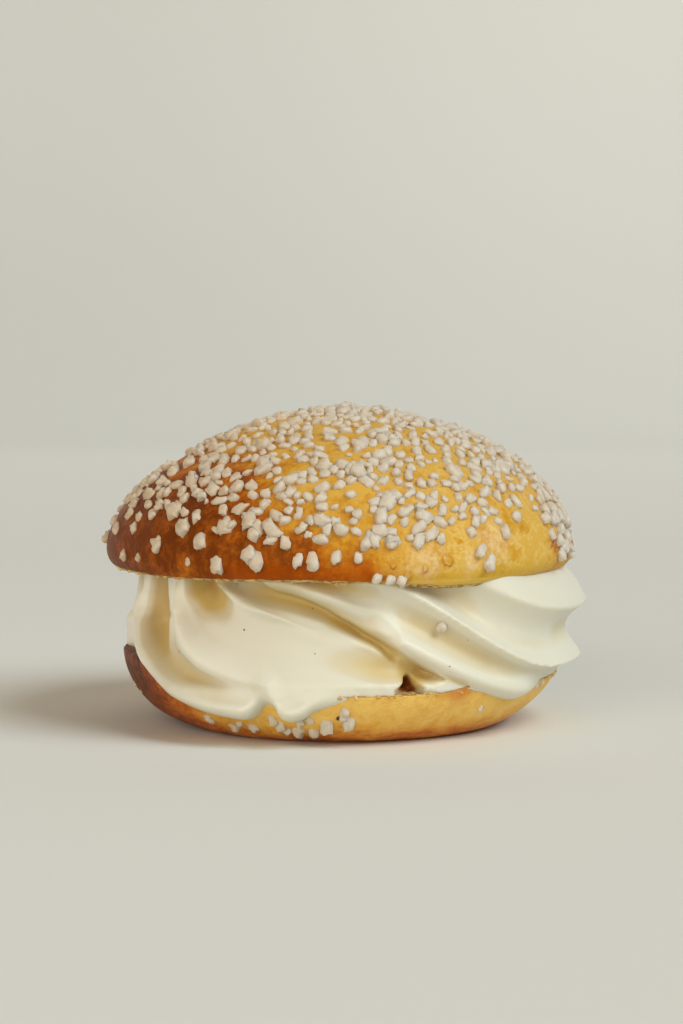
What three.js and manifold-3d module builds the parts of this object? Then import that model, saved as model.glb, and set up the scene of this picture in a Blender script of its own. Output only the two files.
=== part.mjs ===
// A small tarte tropezienne: a round brioche bun cut in two, with piped cream between the halves.
// Millimetres, +Z up, standing on the flat foot of the base. The front is -Y.
// Angles are in degrees, counted from the front round towards +X.
import * as THREE from 'three';
import { LoftGeometry } from 'three/addons/geometries/LoftGeometry.js';
import { mergeVertices } from 'three/addons/utils/BufferGeometryUtils.js';
import Module from 'manifold-3d';

// The lid, the domed upper half.
const LID_RADIUS = 50; // where it is widest, a little above its cut
const LID_WIDEST = 37.1; // height of the widest ring
const LID_TOP = 66.5;
const LID_CUT = 33.1; // height of the cut underside
const LID_CUT_RADIUS = 46.6;
const LID_CUT_SHIFT = 0.7; // the cut reaches this much further out on the left, where the rim curls less
const LID_POWER = 1.76; // a dome between a cone (1) and a half ellipse (2)
const LID_LEAN = 1.4; // how much the right shoulder stands above an even dome, and the left below it
const LID_SWELL = 0.35; // uneven rise of the dough
const LID_DROOP = 0.35; // the cut hangs this much lower at the front right
const LID_LIFT = 0.6; // and it is drawn up this much at the front,
const LID_LIFT_MIDDLE = -8; // around this angle,
const LID_LIFT_REACH = 20; // fading over this many degrees
const LID_APEX_TURN = Math.PI / 2.06; // the dome's last ring stops just short of its very top

// The base, the lower half: a shallow bowl.
const BASE_RADIUS = 48.4; // of the whole bun at its widest, which lies above the cut
const BASE_WIDEST = 16.6;
const BASE_EDGE = 47.6; // just outside the cut edge of the base
const BASE_FLAT = 30; // radius of the flat foot that it was baked on
const BASE_FORWARD = 4; // the foot lies this much further forward than the rim
const BASE_POWER = 1.7;
const BASE_CLOSER = 1.7; // above 1, the wall's rings lie closer together near the foot
const BASE_SWELL = 0.25; // uneven bulge of the wall
const BASE_CUT = 11; // height of the cut
const BASE_STEP = 4.6; // the knife ran this much higher at the back left
const BASE_STEP_MIDDLE = 250;
const BASE_STEP_HALF = 44; // the high stretch reaches this many degrees to each side of its middle,
const BASE_STEP_RUN = 18; // and the cut climbs to it over this many degrees
const BASE_SQUEEZE = 1.8; // the wall draws in this much under the high stretch
const BASE_CROWN = 0.6; // the crumb springs up this much in the middle

// The cream: a core disc, and strokes piped round it with a star nozzle.
const GAP = 0.3; // between the cream and the brioche
const CORE_RADIUS = 40.5;
const CORE_WAVE = 0.8; // how uneven the core is
const CORE_OVERLAP = 3; // it is made this much too tall at each end, and the brioche is cut out of it
const ROOT_RADIUS = 29; // the strokes reach this far in, into the core
const ROLL_DROP = 2.1; // the lowest ridge of a stroke rolls under by this much
const ROLL_INSET = 5;
const CROWN_INSET = 4.2; // a stroke's crown lies this far inside its highest ridge,
const CROWN_RISE = 7.6; // this much above it,
const CROWN_LEAST = 2; // and at least this much inside the lid
const HOLLOW_POWER = 1.4; // above 1, the hollows between ridges leave the ridges rounder
const TUCK_ANGLE = 13; // a ridge draws in over this angle where it ends,
const TUCK_LIFT = 0.5; // and rises by this share of what it draws in
const RIDGE_START = 0.6; // a ridge starts this much above the lid's cut
const UNDER_LID = 6; // before its start a ridge runs at most this far up inside the lid,
const UNDER_LID_ANGLE = 15; // mostly over this many degrees
const TAIL_ANGLE = 24; // the tail of a stroke shrinks over this angle,
const TAIL_RADIUS = 33; // towards this distance from the axis,
const TAIL_SHRINK = 0.85; // going this share of the way,
const TAIL_CLOSE = 0.35; // and its ridges close up by this share

const AROUND = 60; // facets round the bun
const STROKE_STEP = 5; // degrees between two sections of a stroke
const GROOVE_POINTS = 5;

// A ridge comes out from under the lid at start, falls over span and rests at height rest. A bend
// under 1 lets it fall steeply first. reach is its distance from the axis once it is down, and
// out is its distance at the lid. After end it draws in by tuck.
const FRONT_LEFT = {
  tail: 8,
  hollows: [2, 1.3, 3.2],
  ridges: [
    { start: -88, span: 66, bend: 0.5, rest: 8.8, reach: 49.5, out: 42.8, end: -26, tuck: 7 },
    { start: -60, span: 46, bend: 0.4, rest: 13.4, reach: 48.2, out: 40.5, end: 40, tuck: 0 },
    { start: -46, span: 86, bend: 0.7, rest: 16.6, reach: 44.5, out: 41.5, end: 40, tuck: 0 },
  ],
};
const REGULAR_RIDGES = [
  { start: 0, span: 76, bend: 0.82, rest: 11, reach: 49, out: 46, tuck: 2.5 },
  { start: 23, span: 67, bend: 0.87, rest: 14.6, reach: 52, out: 46.5, tuck: 0 },
  { start: 52, span: 36, bend: 0.5, rest: 25.9, reach: 53, out: 47, tuck: 0 },
];
// The other three strokes are regular ones, each turned to its start. The back left one ends on the
// high side of the base, so it rests higher, bulges less and keeps its lowest ridge to its tail.
const TURNED = [
  { start: -18, tail: 112, stay: 68, lift: [0, 0, 0], slim: [0, 0, 0], hollows: [2.7, 3.9, -1] },
  { start: 80, tail: 112, stay: 72, lift: [0.3, 0.6, 0.6], slim: [0.5, 2, 3], hollows: [2.2, 3.2, -1] },
  { start: 176, tail: 91, stay: 110, lift: [5.4, 7, 5], slim: [2.6, 5.4, 10], hollows: [0.4, 1.5, 0] },
];

const smooth = (value) => THREE.MathUtils.smoothstep(value, 0, 1);
const wave = (angle, count, phase) => Math.sin(THREE.MathUtils.degToRad(count * angle + phase));

function polar(angle, radius, height) {
  const turn = THREE.MathUtils.degToRad(angle);
  return new THREE.Vector3(radius * Math.sin(turn), -radius * Math.cos(turn), height);
}

// A round closed form, stacked from rings. ringAt(level, angle) gives a ring's [radius, height].
function stacked(levels, ringAt) {
  const rings = [];
  for (let level = 0; level <= levels; level += 1) {
    const ring = [];
    for (let step = 0; step < AROUND; step += 1) {
      const angle = (360 * step) / AROUND;
      ring.push(polar(angle, ...ringAt(level, angle)));
    }
    rings.push(ring);
  }
  return new LoftGeometry(rings, { capStart: true, capEnd: true });
}

// The underside of the lid hangs a little lower at the front right than at the back left.
function lidCut(angle, radius) {
  const towards = Math.cos(THREE.MathUtils.degToRad(angle - 35));
  const fromLift = THREE.MathUtils.euclideanModulo(angle - LID_LIFT_MIDDLE + 180, 360) - 180;
  const lift = LID_LIFT * Math.exp(-((fromLift / LID_LIFT_REACH) ** 2));
  return LID_CUT + ((lift - LID_DROOP * towards) * radius) / LID_RADIUS;
}

function lidGeometry(grow = 0) {
  const curlLevels = 4;
  const domeLevels = 17;
  const ringAt = (level, angle) => {
    const swell = LID_SWELL * (wave(angle, 3, 40) + 0.7 * wave(angle, 5, 110) + 0.5 * wave(angle, 8, 0));
    if (level <= curlLevels) {
      const turn = ((level / curlLevels) * Math.PI) / 2;
      const cutRadius = LID_CUT_RADIUS - LID_CUT_SHIFT * Math.sin(THREE.MathUtils.degToRad(angle));
      const radius = cutRadius + (LID_RADIUS - cutRadius) * Math.sin(turn) + grow;
      const cut = lidCut(angle, radius);
      return [radius, cut - grow + (LID_WIDEST - cut) * (1 - Math.cos(turn))];
    }
    const turn = ((level - curlLevels) / domeLevels) * LID_APEX_TURN;
    const share = Math.cos(turn);
    const rise = (1 - share ** LID_POWER) ** (1 / LID_POWER);
    const shoulder = 4 * share ** 2 * (1 - share ** 2);
    const lean = LID_LEAN * Math.sin(THREE.MathUtils.degToRad(angle));
    const height = LID_WIDEST + (LID_TOP - LID_WIDEST) * rise + shoulder * (lean + swell);
    return [LID_RADIUS * share + grow, height];
  };
  return stacked(curlLevels + domeLevels, ringAt);
}

// The height of the cut across the base: level, but for a step up near the rim at the back left.
function baseCut(angle, radius) {
  const share = radius / BASE_RADIUS;
  const fromLeft = Math.abs(THREE.MathUtils.euclideanModulo(angle, 360) - BASE_STEP_MIDDLE);
  const step = BASE_STEP * smooth((BASE_STEP_HALF - fromLeft) / BASE_STEP_RUN);
  return BASE_CUT + step * smooth(3 * share - 2) + BASE_CROWN * (1 - share ** 2);
}

function baseGeometry(grow = 0) {
  const wallLevels = 10;
  const faceLevels = 3;
  const wallAt = (height) => {
    const share = 1 - Math.min(height / BASE_WIDEST, 1);
    const side = (1 - share ** BASE_POWER) ** (1 / BASE_POWER);
    return BASE_FLAT + (BASE_RADIUS - BASE_FLAT) * side;
  };
  const ringAt = (level, angle) => {
    const top = baseCut(angle, BASE_RADIUS);
    if (level <= wallLevels) {
      const share = level / wallLevels;
      const height = top * share ** BASE_CLOSER;
      const swell = BASE_SWELL * (wave(angle, 4, 20) + wave(angle, 6, 75)) * share;
      const squeeze = (BASE_SQUEEZE * (top - BASE_CUT) * share ** 2) / BASE_STEP;
      const forward = BASE_FORWARD * Math.cos(THREE.MathUtils.degToRad(angle)) * (1 - share);
      const radius = wallAt(height) + swell - squeeze + forward + grow;
      return [radius, height + (level === wallLevels ? grow : 0)];
    }
    const radius = BASE_RADIUS * (1 - (level - wallLevels) / (faceLevels + 0.5));
    return [radius, baseCut(angle, radius) + grow];
  };
  return stacked(wallLevels + faceLevels, ringAt);
}

// Where one ridge of a stroke lies at an angle: its [radius, height].
function ridgeAt(ridge, angle) {
  const along = THREE.MathUtils.clamp((angle - ridge.start) / ridge.span, 0, 1);
  const fall = 0.5 + 0.5 * Math.cos(Math.PI * along ** ridge.bend);
  const above = UNDER_LID * (1 - Math.exp(-Math.max(ridge.start - angle, 0) / UNDER_LID_ANGLE));
  const tuck = ridge.tuck * smooth((angle - ridge.end) / TUCK_ANGLE);
  const radius = ridge.reach + (ridge.out - ridge.reach) * fall - tuck;
  const height = ridge.rest + (LID_CUT + RIDGE_START - ridge.rest) * fall;
  return [radius, height + above + tuck * TUCK_LIFT];
}

// Points from one ridge down to the next, hollowed towards the axis. Where one lies hardly above the
// other, the hollow is shallow, so that the section doesn't cross itself.
function hollow(from, to, depth) {
  const points = [];
  const length = Math.hypot(to[0] - from[0], to[1] - from[1]);
  const inward = [(to[1] - from[1]) / length, (from[0] - to[0]) / length];
  const deepest = Math.min(depth, Math.max(from[1] - to[1] - 0.5, 0) / 2);
  for (let step = 0; step < GROOVE_POINTS; step += 1) {
    const share = step / GROOVE_POINTS;
    const sink = deepest * Math.sin(Math.PI * share) ** HOLLOW_POWER;
    points.push([0, 1].map((axis) => from[axis] + (to[axis] - from[axis]) * share + inward[axis] * sink));
  }
  return points;
}

// A groove in cream that hangs over the edge of the base stays outside it, so that the lowest ridge,
// which reaches out to limit, isn't cut off.
function outsideBase([radius, height], limit) {
  const edge = Math.min(BASE_EDGE, limit);
  const beside = smooth((BASE_CUT + 2 - height) / 2);
  return [Math.max(radius, radius + (edge - radius) * beside), height];
}

// The closed section of a stroke at an angle, from its root over the top and down the ridges.
function strokeSection(stroke, angle) {
  const [low, middle, high] = stroke.ridges.map((ridge) => ridgeAt(ridge, angle));
  const crown = [
    Math.min(high[0] - CROWN_INSET, LID_CUT_RADIUS - 1),
    Math.max(high[1] + CROWN_RISE, LID_CUT + CROWN_LEAST),
  ];
  const outline = [[ROOT_RADIUS, crown[1]]];
  outline.push(...hollow(crown, high, stroke.hollows[2]));
  outline.push(...hollow(high, middle, stroke.hollows[1]));
  const groove = hollow(middle, low, stroke.hollows[0]);
  outline.push(...groove.map((point) => outsideBase(point, low[0])));
  for (let step = 0; step <= 4; step += 1) {
    const turn = ((step / 4) * Math.PI) / 2;
    outline.push([low[0] - ROLL_INSET * (1 - Math.cos(turn)), low[1] - ROLL_DROP * Math.sin(turn)]);
  }
  outline.push([ROOT_RADIUS, low[1] - ROLL_DROP]);
  const shrink = smooth((angle - stroke.tail) / TAIL_ANGLE);
  return outline.map(([radius, height]) => {
    const drawnIn = radius + (TAIL_RADIUS - radius) * TAIL_SHRINK * shrink;
    return polar(angle, drawnIn, height + (middle[1] - height) * TAIL_SHRINK * TAIL_CLOSE * shrink);
  });
}

function strokeGeometry(stroke) {
  const sections = [];
  const first = stroke.ridges[0].start - 2;
  const last = stroke.tail + TAIL_ANGLE;
  const count = Math.ceil((last - first) / STROKE_STEP);
  for (let step = 0; step <= count; step += 1) {
    sections.push(strokeSection(stroke, first + ((last - first) * step) / count));
  }
  return new LoftGeometry(sections, { capStart: true, capEnd: true });
}

// A regular stroke, turned to its start, with its ridges raised and slimmed.
function turnedStroke({ start, tail, stay, lift, slim, hollows }) {
  const ridges = REGULAR_RIDGES.map((ridge, index) => ({
    ...ridge,
    start: ridge.start + start,
    end: stay + start,
    rest: ridge.rest + lift[index],
    reach: ridge.reach - slim[index],
  }));
  return { tail: tail + start, hollows, ridges };
}

function coreGeometry() {
  const heights = [BASE_CUT - CORE_OVERLAP, (BASE_CUT + LID_CUT) / 2, LID_CUT + CORE_OVERLAP];
  return stacked(2, (level, angle) => [CORE_RADIUS + CORE_WAVE * wave(angle, 5, 30 * level), heights[level]]);
}

const wasm = await Module();
wasm.setup();

function toSolid(geometry) {
  const bare = new THREE.BufferGeometry();
  bare.setAttribute('position', geometry.attributes.position);
  bare.setIndex(geometry.index);
  const merged = mergeVertices(bare, 1e-4);
  return new wasm.Manifold(
    new wasm.Mesh({
      numProp: 3,
      vertProperties: merged.attributes.position.array,
      triVerts: Uint32Array.from(merged.index.array),
    }),
  );
}

function toGeometry(solid) {
  const mesh = solid.getMesh();
  const geometry = new THREE.BufferGeometry();
  geometry.setAttribute('position', new THREE.BufferAttribute(mesh.vertProperties, 3));
  geometry.setIndex(new THREE.BufferAttribute(mesh.triVerts, 1));
  geometry.computeVertexNormals();
  return geometry;
}

function creamGeometry() {
  const strokes = [FRONT_LEFT, ...TURNED.map(turnedStroke)];
  let cream = toSolid(coreGeometry());
  for (const stroke of strokes) {
    cream = cream.add(toSolid(strokeGeometry(stroke)));
  }
  cream = cream.subtract(toSolid(lidGeometry(GAP))).subtract(toSolid(baseGeometry(GAP)));
  return toGeometry(cream);
}

function named(name, geometry, color, roughness) {
  const mesh = new THREE.Mesh(geometry, new THREE.MeshStandardMaterial({ color, roughness, metalness: 0 }));
  mesh.name = name;
  return mesh;
}

const tart = new THREE.Group();
tart.add(named('brioche_base', baseGeometry(), 0xc99a4f, 0.6));
tart.add(named('cream_filling', creamGeometry(), 0xefe8cf, 0.35));
tart.add(named('brioche_lid', lidGeometry(), 0xb5732a, 0.5));

// The origin is under the middle of the whole tart.
const middle = new THREE.Box3().setFromObject(tart).getCenter(new THREE.Vector3());
tart.position.set(-middle.x, -middle.y, 0);

export default tart;
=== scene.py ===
import math

import bmesh
import bpy
import numpy as np
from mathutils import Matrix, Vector
from mathutils.bvhtree import BVHTree
from mathutils.kdtree import KDTree


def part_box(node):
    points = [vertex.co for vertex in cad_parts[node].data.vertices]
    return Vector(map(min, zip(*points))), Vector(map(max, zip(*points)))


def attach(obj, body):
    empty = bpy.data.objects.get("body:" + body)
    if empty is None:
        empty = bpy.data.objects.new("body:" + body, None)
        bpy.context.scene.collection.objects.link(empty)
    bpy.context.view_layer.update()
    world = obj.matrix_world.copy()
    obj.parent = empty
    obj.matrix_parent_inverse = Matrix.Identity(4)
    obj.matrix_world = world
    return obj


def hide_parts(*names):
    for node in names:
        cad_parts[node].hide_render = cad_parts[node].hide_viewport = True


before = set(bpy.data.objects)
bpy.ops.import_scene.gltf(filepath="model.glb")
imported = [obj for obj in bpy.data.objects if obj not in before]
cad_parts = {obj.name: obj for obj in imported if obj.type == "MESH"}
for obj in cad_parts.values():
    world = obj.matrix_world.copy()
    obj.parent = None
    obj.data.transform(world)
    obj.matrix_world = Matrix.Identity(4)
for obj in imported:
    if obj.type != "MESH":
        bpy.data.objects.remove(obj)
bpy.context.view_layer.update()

# Studio. A seamless pale sweep of paper runs under and behind the tart. One big softbox stands at the
# front right, pale walls in front and at the left send light back, and a warm fill comes from all round.
MM = 0.001
lid_low, lid_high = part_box("brioche_lid")
AXIS_X = (lid_low.x + lid_high.x) / 2  # the bun's own axis; the cream reaches further out on one side
CAMERA_DISTANCE = 520 * MM
CAMERA_HEIGHT = 77.6 * MM
CAMERA_ASIDE = 0.32 * MM
CAMERA_DROP = 0.064  # how far down it looks for each metre ahead
CAMERA_LENS = 85.2
FILL_COLOR = (0.232, 0.163, 0.1)
# painted light: the paper's tones stand in for uneven light, paler in front and at the right, darker behind
# and up the far bend
PAPER_NEAR = (0.78, 0.79, 0.757)
PAPER_BEHIND = (0.685, 0.692, 0.665)
PAPER_FAR = (0.535, 0.54, 0.52)
PAPER_BRIGHT = (0.85, 0.86, 0.83)
BRIGHT_SHARE = 0.22  # how much of it the paper has at its right
BEHIND_FROM, BEHIND_TO = -0.3, 0.5  # metres behind the tart, where one tone passes into the next
FAR_FROM, FAR_TO = 1.2, 2.3
BRIGHT_FROM, BRIGHT_TO = -0.4, 0.4  # metres to its right
PAPER_FRONT = -2.5
PAPER_BACK = 1.6
PAPER_BEND = 1.2
PAPER_BEND_STEPS = 24
PAPER_TOP = 4.0
PAPER_HALF_WIDTH = 5.0
# strength, colour, and in degrees: azimuth from +X towards the back, elevation, width as seen from the tart
LIGHTS = {
    "softbox": (2.1, (0.86, 0.96, 1.0), -33, 41, 36),
    "front_wall": (1.62, (1.0, 0.92, 0.78), -113, 10, 55),
    "side_wall": (0.4, (1.0, 0.94, 0.84), -168, 7, 50),
}

scene = bpy.context.scene
scene.view_settings.view_transform = "Standard"
scene.view_settings.look = "None"


def put(name, data):
    """A new object in the scene."""
    made = bpy.data.objects.new(name, data)
    scene.collection.objects.link(made)
    return made


camera = put("camera", bpy.data.cameras.new("camera"))
camera.data.lens = CAMERA_LENS
camera.location = (AXIS_X + CAMERA_ASIDE, -CAMERA_DISTANCE, CAMERA_HEIGHT)
camera.rotation_euler = (math.pi / 2 - math.atan(CAMERA_DROP), 0, 0)
scene.camera = camera

for name, (strength, color, azimuth, elevation, width) in LIGHTS.items():
    light = put(name, bpy.data.lights.new(name, "SUN"))
    light.data.energy = strength
    light.data.color = color
    light.data.angle = math.radians(width)
    light.rotation_euler = (math.radians(90 - elevation), 0, math.radians(azimuth + 90))

scene.world = bpy.data.worlds.new("walls")
scene.world.use_nodes = True
scene.world.node_tree.nodes["Background"].inputs["Color"].default_value = (*FILL_COLOR, 1)


class Wire:
    """An output socket of a node tree. Arithmetic on wires adds Math nodes."""

    def __init__(self, tree, socket=None):
        self.tree = tree
        self.socket = socket

    def node(self, kind, values=None, output=0, **settings):
        """Adds a node with these settings, and with values or links for its sockets."""
        made = self.tree.nodes.new(kind)
        for name, value in settings.items():
            if name == "stops":
                stops = made.color_ramp.elements
                while len(stops) < len(value):
                    stops.new(1)
                for stop, (place, color) in zip(stops, value):
                    stop.position = place
                    stop.color = (*color, 1)
            else:
                setattr(made, name, value)
        for key, value in (values or {}).items():
            if isinstance(value, Wire):
                self.tree.links.new(value.socket, made.inputs[key])
            else:
                made.inputs[key].default_value = value
        return Wire(self.tree, made.outputs[output])

    def math(self, operation, *terms):
        return self.node("ShaderNodeMath", dict(enumerate(terms)), operation=operation)

    def __add__(self, other):
        return self.math("ADD", self, other)

    def __mul__(self, other):
        return self.math("MULTIPLY", self, other)

    __radd__ = __add__
    __rmul__ = __mul__

    def __sub__(self, other):
        return self.math("SUBTRACT", self, other)

    def __rsub__(self, other):
        return self.math("SUBTRACT", other, self)

    def __truediv__(self, other):
        return self.math("DIVIDE", self, other)

    def __rtruediv__(self, other):
        return self.math("DIVIDE", other, self)

    def __pow__(self, other):
        return self.math("POWER", self, other)

    def __abs__(self):
        return self.math("ABSOLUTE", self)

    def sin(self):
        return self.math("SINE", self)

    def cos(self):
        return self.math("COSINE", self)

    def smooth(self, low, high):
        """0 at low and 1 at high, with a soft change between."""
        values = {0: self, 1: low, 2: high, 3: 0, 4: 1}
        return self.node("ShaderNodeMapRange", values, interpolation_type="SMOOTHSTEP")

    def clamp(self):
        return self.node("ShaderNodeClamp", {"Value": self, "Min": 0, "Max": 1})

    def noise(self, size, detail=2.0, roughness=0.5):
        """Noise from 0 to 1 on a place, with lumps of about that size."""
        values = {"Vector": self, "Scale": 1 / size, "Detail": detail, "Roughness": roughness}
        return self.node("ShaderNodeTexNoise", values)

    def uneven(self, size, detail=2.0, roughness=0.5):
        """The same noise, from -0.5 to 0.5."""
        return self.noise(size, detail, roughness) - 0.5

    def mix(self, first, second):
        """Of two colours: the first where this wire is 0, the second where it is 1."""
        return self.node("ShaderNodeMix", {0: self, 6: first, 7: second}, 2, data_type="RGBA")

    def away(self, spot):
        """How far a place is from a spot."""
        return self.node("ShaderNodeVectorMath", {0: self, 1: spot}, 1, operation="DISTANCE")

    def split(self):
        made = self.node("ShaderNodeSeparateXYZ", {"Vector": self}).socket.node
        return [Wire(self.tree, socket) for socket in made.outputs]


def material(name, roughness, specular=0.5, subsurface=0.0, subsurface_radius=(1, 1, 1)):
    """A new material with its shader, and the place on the piece as a wire to start from."""
    made = bpy.data.materials.new(name)
    made.use_nodes = True
    shader = made.node_tree.nodes["Principled BSDF"]
    settings = {"Roughness": roughness, "Specular IOR Level": specular, "Subsurface Weight": subsurface,
                "Subsurface Radius": subsurface_radius, "Subsurface Scale": 1.0}
    for setting, value in settings.items():
        shader.inputs[setting].default_value = value
    place = Wire(made.node_tree).node("ShaderNodeTexCoord", output=3)
    return made, shader, place


def plug(shader, name, wire):
    wire.tree.links.new(wire.socket, shader.inputs[name])


def raise_surface(shader, height):
    """Bump from a height in metres."""
    bump = height.node("ShaderNodeBump", {"Height": height, "Strength": 1.0, "Distance": 1.0})
    plug(shader, "Normal", bump)


paper_side = [(PAPER_FRONT, 0.0), (PAPER_BACK, 0.0)]
for step in range(1, PAPER_BEND_STEPS + 1):
    turn = math.pi / 2 * step / PAPER_BEND_STEPS
    paper_side.append((PAPER_BACK + PAPER_BEND * math.sin(turn), PAPER_BEND * (1 - math.cos(turn))))
paper_side.append((PAPER_BACK + PAPER_BEND, PAPER_TOP))
paper_mesh = bpy.data.meshes.new("paper_sweep")
paper_points = [(x, y, z) for y, z in paper_side for x in (-PAPER_HALF_WIDTH, PAPER_HALF_WIDTH)]
paper_faces = [(2 * i, 2 * i + 1, 2 * i + 3, 2 * i + 2) for i in range(len(paper_side) - 1)]
paper_mesh.from_pydata(paper_points, [], paper_faces)
paper = put("paper_sweep", paper_mesh)
paper_material, paper_shader, paper_place = material("matte paper", 0.9, specular=0.1)
paper_x, paper_y, _ = paper_place.split()
# painted light and shade on the paper: darker further behind, paler at the right
paper_color = paper_y.smooth(BEHIND_FROM, BEHIND_TO).mix((*PAPER_NEAR, 1), (*PAPER_BEHIND, 1))
paper_color = paper_y.smooth(FAR_FROM, FAR_TO).mix(paper_color, (*PAPER_FAR, 1))
paper_color = (paper_x.smooth(BRIGHT_FROM, BRIGHT_TO) * BRIGHT_SHARE).mix(paper_color, (*PAPER_BRIGHT, 1))
plug(paper_shader, "Base Color", paper_color)
paper_mesh.materials.append(paper_material)
paper_mesh.shade_smooth()

# Base. The bottom of the baked bun, with the flat foot that it was baked on. It is cut off level, but for
# the back left, where the knife ran higher, and its crumb shows where the cream leaves it bare.
base_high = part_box("brioche_base")[1]
BUN_RADIUS = 48.4 * MM
BUN_WIDEST = 16.6 * MM  # the height at which the whole bun was widest
BASE_FLAT = 30 * MM  # radius of the foot
BASE_FORWARD = 4 * MM  # how far the foot lies in front of the middle
BASE_POWER = 1.7  # roundness of the wall: 2 would be an ellipse
BASE_RING_PACE = 1.7  # the rings lie closer together near the foot
BASE_SWELL = 0.25 * MM
BASE_CUT = 11 * MM
BASE_CROWN = 0.6 * MM  # how much higher the cut is in the middle
STEP_RISE = base_high.z - BASE_CUT
STEP_MIDDLE = math.radians(255.5)
STEP_HALF = math.radians(58.5)
STEP_RUN = math.radians(20)
STEP_SQUEEZE = 1.8 * MM
EDGE_RISE = 1.4 * MM
EDGE_MIDDLE = math.radians(37)
EDGE_HALF = math.radians(13)
BASE_FLOOR_SHARE = 0.06  # of the rings: the flat spot underneath
BASE_WALL_SHARE = 0.62  # then the wall; the rest is the cut face
BASE_CUT_SHARE = BASE_FLOOR_SHARE + BASE_WALL_SHARE


def form_tree(name, sizes):
    """A Geometry Nodes tree with a named input for each size. Returns it and its input wires."""
    tree = bpy.data.node_groups.new(name, "GeometryNodeTree")
    kinds = {float: "NodeSocketFloat", int: "NodeSocketInt", bpy.types.Object: "NodeSocketObject"}
    tree.interface.new_socket("Geometry", in_out="INPUT", socket_type="NodeSocketGeometry")
    for label, value in sizes.items():
        kind = kinds.get(type(value), "NodeSocketMaterial")
        tree.interface.new_socket(label, in_out="INPUT", socket_type=kind)
    tree.interface.new_socket("Geometry", in_out="OUTPUT", socket_type="NodeSocketGeometry")
    start = tree.nodes.new("NodeGroupInput")
    return tree, {socket.name: Wire(tree, socket) for socket in start.outputs if socket.name}


def end_tree(geometry, finish):
    """Ends a tree: instances are made real and the material is set."""
    real = geometry.node("GeometryNodeRealizeInstances", {0: geometry})
    done = real.node("GeometryNodeSetMaterial", {"Geometry": real, "Material": finish})
    end = geometry.tree.nodes.new("NodeGroupOutput")
    geometry.tree.links.new(done.socket, end.inputs[0])


def settled(carrier):
    """Replaces an object by a plain one with the mesh that its modifiers make."""
    name = carrier.name
    graph = bpy.context.evaluated_depsgraph_get()
    mesh = bpy.data.meshes.new_from_object(carrier.evaluated_get(graph), depsgraph=graph)
    bpy.data.objects.remove(carrier)
    mesh.name = name
    return put(name, mesh)


def grown(name, tree, sizes, start_mesh=None):
    """The plain mesh object that a tree makes with these sizes."""
    carrier = put(name, start_mesh or bpy.data.meshes.new(name))
    modifier = carrier.modifiers.new(name, "NODES")
    modifier.node_group = tree
    labels = {item.name: item.identifier for item in tree.interface.items_tree if item.in_out == "INPUT"}
    for label, value in sizes.items():
        modifier[labels[label]] = value
    return settled(carrier)


DOUGH_RISE = 0.9 * MM
RIPPLE_SIZE = 5 * MM
TEAR_SIZE = 2.2 * MM


def round_piece(name, finish, around, rings, ring_at, relief, crumb_edge):
    """A closed round piece, its rings running from one pole over the wall to the other.

    ring_at gives radius and height from the angle and the share of the way. relief has the size of the
    lumps of dough, the height of their ripples and how rough the crumb is. The crumb passes into crust
    between the two shares of crumb_edge.
    """
    sizes = {"Finish": finish}
    tree, wires = form_tree(name, sizes)
    node = wires["Geometry"].node
    grid = node("GeometryNodeMeshGrid", {"Size X": 1, "Size Y": 1, "Vertices X": around + 1,
                                         "Vertices Y": rings + 1})
    x, y, _ = node("GeometryNodeInputPosition").split()
    angle = (x + 0.5) * math.tau
    share = y + 0.5
    radius, height = ring_at(angle, share)
    place = node("ShaderNodeCombineXYZ", {"X": radius * angle.sin() + AXIS_X,
                                          "Y": radius * angle.cos() * -1, "Z": height})
    marked = node("GeometryNodeStoreNamedAttribute",
                  {"Geometry": grid, "Name": "crumb", "Value": share.smooth(*crumb_edge)})
    shaped = node("GeometryNodeSetPosition", {"Geometry": marked, "Position": place})
    closed = node("GeometryNodeMergeByDistance", {"Geometry": shaped, "Distance": 0.001 * MM})
    surface = node("GeometryNodeInputPosition")
    outward = node("GeometryNodeInputNormal")
    crumb = node("GeometryNodeInputNamedAttribute", {"Name": "crumb"})
    lump_size, ripple, roughness = relief
    dough = surface.uneven(lump_size, 1) * DOUGH_RISE + surface.uneven(RIPPLE_SIZE, 2) * ripple
    torn = surface.uneven(TEAR_SIZE, 3, 0.6) * roughness
    lift = dough * (1 - crumb) + torn * crumb
    lift = node("ShaderNodeVectorMath", {0: outward, "Scale": lift}, operation="SCALE")
    lifted = node("GeometryNodeSetPosition", {"Geometry": closed, "Offset": lift})
    end_tree(node("GeometryNodeSetShadeSmooth", {0: lifted}), wires["Finish"])
    return grown(name, tree, sizes)


def degrees_wave(angle, count, phase):
    return (angle * count + math.radians(phase)).sin()


def rim_rise(angle):
    """How far the cut steps up at the rim: at the back left, and a little at the front right."""
    step = STEP_RISE * (STEP_HALF - abs(angle - STEP_MIDDLE)).smooth(0, STEP_RUN)
    return step + EDGE_RISE * abs(angle - EDGE_MIDDLE).smooth(EDGE_HALF, 0)


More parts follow.
